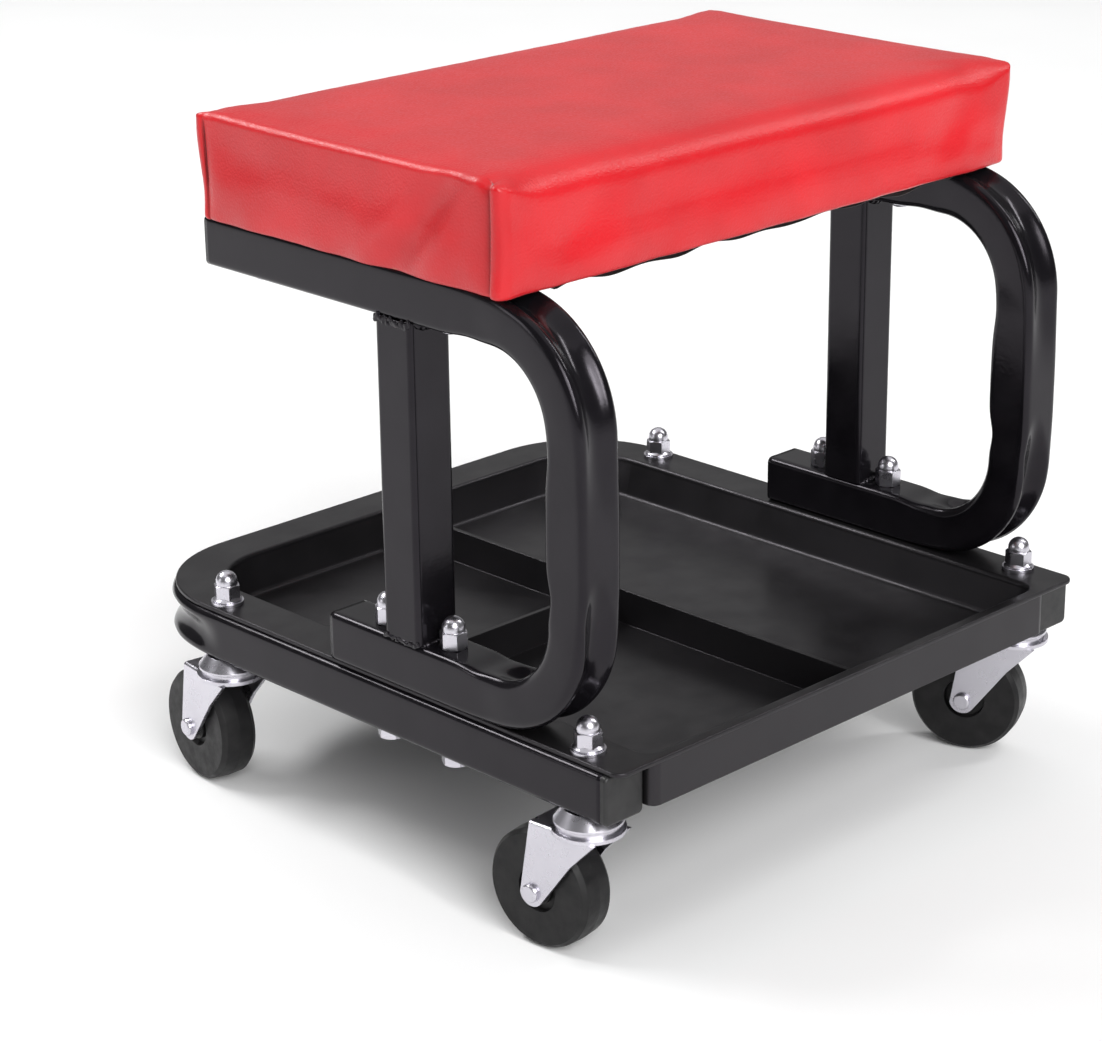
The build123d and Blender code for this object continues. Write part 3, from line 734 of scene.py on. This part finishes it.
def swelling(vertices, faces, cap):
    """How far air pressure moves each point, from a cloth simulation on a remeshed copy."""
    copy = new_piece("swell_source", vertices, faces, LOOKS["red_vinyl"], body=None)
    remesh = copy.modifiers.new("remesh", "REMESH")
    remesh.mode = "VOXEL"
    remesh.voxel_size = CLOTH_VOXEL
    depsgraph = bpy.context.evaluated_depsgraph_get()
    rest = bpy.data.meshes.new_from_object(copy.evaluated_get(depsgraph))
    copy.modifiers.clear()
    copy.data = rest
    before = np.zeros(len(rest.vertices) * 3)
    rest.vertices.foreach_get("co", before)
    before = before.reshape(-1, 3)
    held = copy.vertex_groups.new(name="held")
    under = [int(index) for index in np.nonzero(before[:, 2] < SEAT_LOW.z + 3.5 * MM)[0]]
    held.add(under, 1.0, "REPLACE")
    cloth = copy.modifiers.new("cloth", "CLOTH")
    for key, value in CLOTH.items():
        setattr(cloth.settings, key, value)
    cloth.settings.effector_weights.gravity = 0
    cloth.collision_settings.use_collision = False
    cloth.point_cache.frame_start = 1
    cloth.point_cache.frame_end = CLOTH_FRAMES
    scene = bpy.context.scene
    for number in range(1, CLOTH_FRAMES + 1):
        scene.frame_set(number)
    depsgraph = bpy.context.evaluated_depsgraph_get()
    after = np.zeros(len(before) * 3)
    copy.evaluated_get(depsgraph).data.vertices.foreach_get("co", after)
    moved = after.reshape(-1, 3) - before
    scene.frame_set(1)
    bpy.data.objects.remove(copy)
    size = np.linalg.norm(moved, axis=1)
    limited = moved * (cap * np.tanh(size / cap) / np.maximum(size, 1e-9))[:, None]
    tree = KDTree(len(before))
    for index, point in enumerate(before):
        tree.insert(point, index)
    tree.balance()
    shift = np.zeros_like(vertices)
    for index, point in enumerate(vertices):
        near = tree.find_n(point, 8)
        weights = np.array([1 / (distance + 1.5 * MM) ** 2 for _, _, distance in near])
        places = [number for _, number, _ in near]
        shift[index] = (limited[places] * weights[:, None]).sum(0) / weights.sum()
    return shift


# Soft folds in the sides: face, distance along it, height, turn from the horizontal in degrees,
# half length, half width, depth (hollows are negative). Millimetres.
SIDE_FOLDS = [
    ("left", -52, 336, -48, 40, 8, -3.4),
    ("left", -70, 337, -56, 32, 7, 2.0),
    ("left", -32, 332, -44, 34, 9, 1.6),
    ("left", 22, 332, -30, 34, 11, -1.0),
    ("left", 66, 344, 25, 28, 11, -0.8),
    ("front", -132, 334, 42, 28, 11, -1.3),
    ("front", -104, 338, 46, 30, 12, 0.9),
    ("front", -50, 330, 20, 40, 12, -0.8),
    ("front", 40, 340, 12, 50, 13, 0.6),
    ("front", 128, 336, 48, 30, 11, -1.5),
    ("front", 150, 340, 52, 26, 10, 1.0),
    ("right", -50, 338, 50, 30, 10, -1.2),
    ("right", 44, 332, -35, 30, 10, -1.0),
    ("rear", -130, 338, 45, 28, 10, -1.2),
    ("rear", -20, 332, 10, 50, 12, -0.7),
    ("rear", 126, 338, -48, 28, 10, -1.2),
]
FACES = {"left": (-1, 0), "right": (1, 0), "front": (0, -1), "rear": (0, 1)}
STAPLE_PITCH = 42 * MM


def side_folds(vertices, local, half):
    """The soft folds of SIDE_FOLDS."""
    shift = np.zeros_like(vertices)
    for face, along, level, turn, length, width, depth in SIDE_FOLDS:
        nx, ny = FACES[face]
        reach = local[:, 0] * nx + local[:, 1] * ny
        limit = half.x if nx else half.y
        near = smoothstep((reach - (limit - 14 * MM)) / (8 * MM))
        a = (local[:, 1] if nx else local[:, 0]) - along * MM
        b = vertices[:, 2] - level * MM
        angle = math.radians(turn)
        p = a * math.cos(angle) + b * math.sin(angle)
        q = -a * math.sin(angle) + b * math.cos(angle)
        bulge = depth * MM * np.exp(-((p / (length * MM)) ** 2) - (q / (width * MM)) ** 2) * near
        shift[:, 0] += bulge * nx
        shift[:, 1] += bulge * ny
    return shift


def staple_pulls(vertices, local, half):
    """The lower edge of the vinyl, drawn out between its staples."""
    shift = np.zeros_like(vertices)
    low = np.exp(-(((vertices[:, 2] - SEAT_LOW.z) / (9 * MM)) ** 2))
    for along, across, limit in ((0, 1, half.y), (1, 0, half.x)):
        position = local[:, along]
        near = smoothstep((np.abs(local[:, across]) - (limit - 12 * MM)) / (8 * MM))
        wave = np.cos(position / STAPLE_PITCH * 2 * math.pi)
        wave += 0.6 * np.sin(position / (27 * MM) * 2 * math.pi + 1.3)
        pull = 0.35 * MM * np.clip(1.2 - wave, 0, None) * low * near
        shift[:, across] += pull * np.sign(local[:, across])
    return shift


def corner_puckers(vertices, local):
    """A notch and an ear at the top of each folded corner, and the tuck at its foot."""
    shift = np.zeros_like(vertices)
    drop = (SEAT_HIGH.z - vertices[:, 2]) / MM
    for (sx, sy), strength in FOLD_SHARE.items():
        p = (TOP_HALF.y - sy * local[:, 1]) / MM
        q = (TOP_HALF.x - sx * local[:, 0]) / MM
        near_side = np.exp(-((q / 7) ** 2))
        notch = np.exp(-(((p - 10.5) / 3.6) ** 2) - (drop / 6) ** 2) * near_side
        ear = np.exp(-(((p - 3.5) / 3.2) ** 2) - (drop / 6) ** 2) * near_side
        share = strength**1.5
        depth = 1.9 if strength < 1 else 0
        tuck = depth * np.exp(-((p**2 + q**2) / 10.0**2)) * smoothstep((drop - 12) / 40)
        shift[:, 0] -= sx * (tuck + (1.9 * notch - 0.3 * ear) * share) * MM
        shift[:, 1] -= sy * tuck * MM
        shift[:, 2] += (-2.8 * notch + 0.6 * ear) * share * MM
    return shift


def sculpt(vertices):
    """The cushion's skin with its folds, pulls and puckers."""
    half = (SEAT_HIGH - SEAT_LOW).xy / 2
    local = vertices - np.array([0, SEAT_MIDDLE.y, 0])
    moved = vertices + side_folds(vertices, local, half)
    moved += staple_pulls(vertices, local, half)
    return moved + corner_puckers(vertices, local)


def crown(vertices):
    """The top rises a little towards its middle."""
    local = vertices - np.array([0, SEAT_MIDDLE.y, 0])
    along_x = np.clip(1 - (local[:, 0] / TOP_HALF.x) ** 2, 0, 1)
    along_y = np.clip(1 - (local[:, 1] / TOP_HALF.y) ** 2, 0, 1)
    up = smoothstep((vertices[:, 2] - (SEAT_HIGH.z - 3 * MM)) / (2 * MM))
    moved = vertices.copy()
    moved[:, 2] += 0.7 * MM * np.sqrt(along_x * along_y) * up
    return moved


def make_cushion():
    """The seat: vinyl and foam as one closed skin."""
    vertices, faces = seat_mesh(COLUMNS)
    vertices = vertices + swelling(vertices, faces, 1.4 * MM)
    vertices = crown(sculpt(vertices))
    cushion = new_piece("seat_cushion", vertices, faces, LOOKS["red_vinyl"])
    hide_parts("seat_cover", "seat_foam")


make_cushion()


# ---- dust cover -----------------------------------------------------------------------------
def make_dust_cover():
    """The dust cover: puckered between its staples, sagging a little, held flat over the arms."""
    low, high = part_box("dust_cover")
    width, length = high.x - low.x, high.y - low.y
    columns, rows = 171, 101
    xs = np.linspace(low.x, high.x, columns)
    ys = np.linspace(low.y, high.y, rows)
    x, y = np.meshgrid(xs, ys)
    middle = (low.y + high.y) / 2
    edge = length / 2 - np.abs(y - middle)
    inset = 7 * MM
    between = 0.5 - 0.5 * np.cos(x / STAPLE_PITCH * 2 * math.pi)
    clamp = 1 - smoothstep((np.abs(x) - 138 * MM) / (8 * MM))
    jitter = np.sin(x * 73 + 1.1) + 0.6 * np.sin(x * 131 + 2.0) + 0.3 * np.sin(x * 211 + 0.4)
    hem = smoothstep((inset - edge) / inset) * (1.6 + 1.0 * between + 0.5 * jitter) * MM
    pucker = np.exp(-(((edge - inset) / (16 * MM)) ** 2)) * between * (0.9 + 0.2 * jitter) * MM
    sag = smoothstep(edge / (70 * MM)) * 3.0 * MM
    ripple = (np.sin(x * 92 + y * 47) + np.sin(y * 118 - x * 33 + 0.8)) * 0.45 * MM
    ripple *= smoothstep((edge - inset) / (20 * MM))
    drop = (np.clip(hem, 0, None) + pucker + sag + ripple) * clamp
    z = (low.z + high.z) / 2 - 0.2 * MM - drop
    vertices = np.stack([x.ravel(), y.ravel(), z.ravel()], 1)
    faces = grid_faces(rows, columns, wrap=False)
    cloth = new_piece("dust_cloth", vertices, faces, LOOKS["dust_cloth"])
    thick = cloth.modifiers.new("thickness", "SOLIDIFY")
    thick.thickness = 0.4 * MM
    thick.offset = 0
    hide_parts("dust_cover")


make_dust_cover()


# ---- weld beads -----------------------------------------------------------------------------
def weld_run(vertices, faces, start, end, out, rise, leg, phase):
    """One weld from start to end in a corner: a row of overlapping ripples."""
    stations, around = 56, 9
    first = len(vertices)
    for station in range(stations):
        part = station / (stations - 1)
        centre = start.lerp(end, part)
        taper = min(1, 7 * part, 7 * (1 - part)) ** 0.5
        ripple = 0.74 + 0.24 * abs(math.sin(part * 25 + phase))
        ripple += 0.14 * math.sin(part * 11 + 2 * phase)
        size = leg * max(taper, 0.15) * ripple * 1.15
        for step in range(around):
            turn = QUARTER_TURN * step / (around - 1)
            bulge = size * (1 + 0.12 * math.sin(2 * turn))
            outward = out * (bulge * math.cos(turn) - 0.3 * MM)
            upward = rise * (bulge * math.sin(turn) - 0.3 * MM)
            vertices.append(centre + outward + upward)
        vertices.append(centre - (out + rise) * 0.6 * MM)
    ring = around + 1
    faces += grid_faces(stations, ring, start=first)
    faces.append(tuple(range(first, first + ring)))
    faces.append(tuple(range(first + (stations - 1) * ring, first + stations * ring)))


def weld_lumps(vertices, faces, start, end, out, spread, seed):
    """A rough weld over a flush seam: flat blobs strung from start to end."""
    rng = np.random.default_rng(seed)
    along = (end - start).normalized()
    across = Vector((0, 0, 1))
    for part in np.linspace(0.03, 0.97, 15):
        centre = start.lerp(end, part) + across * rng.uniform(-0.5, 0.5) * spread
        wide, tall = rng.uniform(1.3, 2.3) * MM, rng.uniform(0.5, 1.0) * spread
        thick = rng.uniform(0.5, 1.0) * MM
        first = len(vertices)
        rows, around = 5, 12
        for row in range(rows):
            lift = math.sin(QUARTER_TURN * row / rows)
            reach = math.cos(QUARTER_TURN * row / rows)
            for step in range(around):
                turn = 2 * math.pi * step / around
                spread_out = reach * (1 + 0.18 * math.sin(3 * turn + seed + part * 20))
                sideways = along * (wide * spread_out * math.cos(turn))
                upward = across * (tall * spread_out * math.sin(turn))
                vertices.append(centre + sideways + upward + out * (thick * lift - 0.25 * MM))
        vertices.append(centre + out * (thick - 0.25 * MM))
        vertices.append(centre - out * 0.5 * MM)
        peak = first + rows * around
        faces += grid_faces(rows, around, start=first)
        faces += fan_faces(list(range(peak - around, peak)), peak)
        faces += fan_faces(list(range(first, first + around)), peak + 1, True)


def make_welds():
    """The welds round both posts: ripples in the corners, lumps on the flush outer seams."""
    vertices, faces = [], []
    half = 11 * MM
    for side, sign in SIDES.items():
        low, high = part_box("support_post_" + side)
        middle = (low.x + high.x) / 2
        up = Vector((0, 0, 1))
        outside = Vector((sign, 0, 0))
        for facing, y in ((-1, low.y), (1, high.y)):
            for level, rise, leg in ((low.z, 1, 2.0 * MM), (high.z, -1, 3.3 * MM)):
                start = Vector((middle - half, y, level))
                end = Vector((middle + half, y, level))
                phase = RNG.uniform(0, 6)
                weld_run(vertices, faces, start, end, Vector((0, facing, 0)), up * rise, leg, phase)
        for level, spread in ((low.z + 0.2 * MM, 1.7 * MM), (high.z - 1.2 * MM, 2.6 * MM)):
            x = high.x if sign > 0 else low.x
            start = Vector((x, low.y + 0.5 * MM, level))
            end = Vector((x, high.y - 0.5 * MM, level))
            weld_lumps(vertices, faces, start, end, outside, spread, 11 + sign)
    welds = new_piece("weld_ripples", vertices, faces, LOOKS["powder_coat"])
    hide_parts("weld_beads")


make_welds()


# ---- floor, light and camera ----------------------------------------------------------------
def make_floor():
    look = Look("studio_floor", Specular_IOR_Level=0.2)
    look.colour(look.noise(2, 3), (0.91, 0.91, 0.91), (0.93, 0.93, 0.93))
    look.roughness(look.noise(4, 3), 0.75, 0.85)
    size = 9.0
    floor = new_piece(
        "studio_floor_sheet",
        [(-size, -size, 0), (size, -size, 0), (size, size, 0), (-size, size, 0)],
        [(0, 1, 2, 3)],
        look.material,
        body=None,
    )


def softbox(name, place, target, size, power):
    """A rectangular light at a place, turned to its target."""
    light = bpy.data.lights.new(name, "AREA")
    light.shape = "RECTANGLE"
    light.size, light.size_y = size
    light.energy = power
    lamp = bpy.data.objects.new(name, light)
    lamp.location = place
    lamp.rotation_euler = (Vector(target) - Vector(place)).to_track_quat("-Z", "Y").to_euler()
    bpy.context.scene.collection.objects.link(lamp)


def daylight(name, direction, angle, strength):
    """A wide, even light from a direction, like a large silk overhead."""
    light = bpy.data.lights.new(name, "SUN")
    light.angle = math.radians(angle)
    light.energy = strength
    lamp = bpy.data.objects.new(name, light)
    lamp.rotation_euler = Vector(direction).to_track_quat("Z", "Y").to_euler()
    bpy.context.scene.collection.objects.link(lamp)


def make_light():
    world = bpy.data.worlds.new("studio")
    world.use_nodes = True
    background = world.node_tree.nodes["Background"]
    background.inputs["Color"].default_value = (1, 1, 1, 1)
    background.inputs["Strength"].default_value = 0.12
    bpy.context.scene.world = world
    daylight("key_light", (-0.32, -0.80, 0.54), 40, 2.45)
    daylight("top_light", (0.10, 0.15, 1.0), 80, 0.9)
    aim = (0, 0, 0.2)
    softbox("streak_front", (-0.35, -1.9, 1.15), aim, (0.16, 1.1), 9)
    softbox("streak_rear", (-0.75, 1.45, 1.75), aim, (1.3, 0.35), 24)
    softbox("streak_right", (1.45, -0.75, 1.75), aim, (0.2, 1.2), 10)
    softbox("backdrop_glow", (2.1, 2.1, 1.5), aim, (3.0, 1.6), 5)
    softbox("streak_left", (-1.9, 1.0, 0.6), aim, (0.6, 0.5), 2.5)


CAMERA_AZIMUTH = math.radians(-44.947)
CAMERA_ELEVATION = math.radians(20.271)
CAMERA_ROLL = math.radians(-0.414)
CAMERA_DISTANCE = 1.550116
CAMERA_TARGET = Vector((-0.004398, -0.00196, 0.135092))


def make_camera():
    a, e = CAMERA_AZIMUTH, CAMERA_ELEVATION
    back = Vector((math.sin(a) * math.cos(e), -math.cos(a) * math.cos(e), math.sin(e)))
    level = Vector((math.cos(a), math.sin(a), 0))
    up = back.cross(level)
    right = math.cos(CAMERA_ROLL) * level + math.sin(CAMERA_ROLL) * up
    top = -math.sin(CAMERA_ROLL) * level + math.cos(CAMERA_ROLL) * up
    data = bpy.data.cameras.new("photo_camera")
    data.sensor_width = 36
    data.lens = 97.93
    data.shift_x, data.shift_y = -0.0385, 0.00065
    camera = bpy.data.objects.new("photo_camera", data)
    place = CAMERA_TARGET + back * CAMERA_DISTANCE
    turn = Matrix((right, top, back)).transposed().to_4x4()
    camera.matrix_world = Matrix.Translation(place) @ turn
    bpy.context.scene.collection.objects.link(camera)
    bpy.context.scene.camera = camera


make_floor()
make_light()
make_camera()
bpy.context.scene.view_settings.view_transform = "Standard"

bpy.context.view_layer.update()
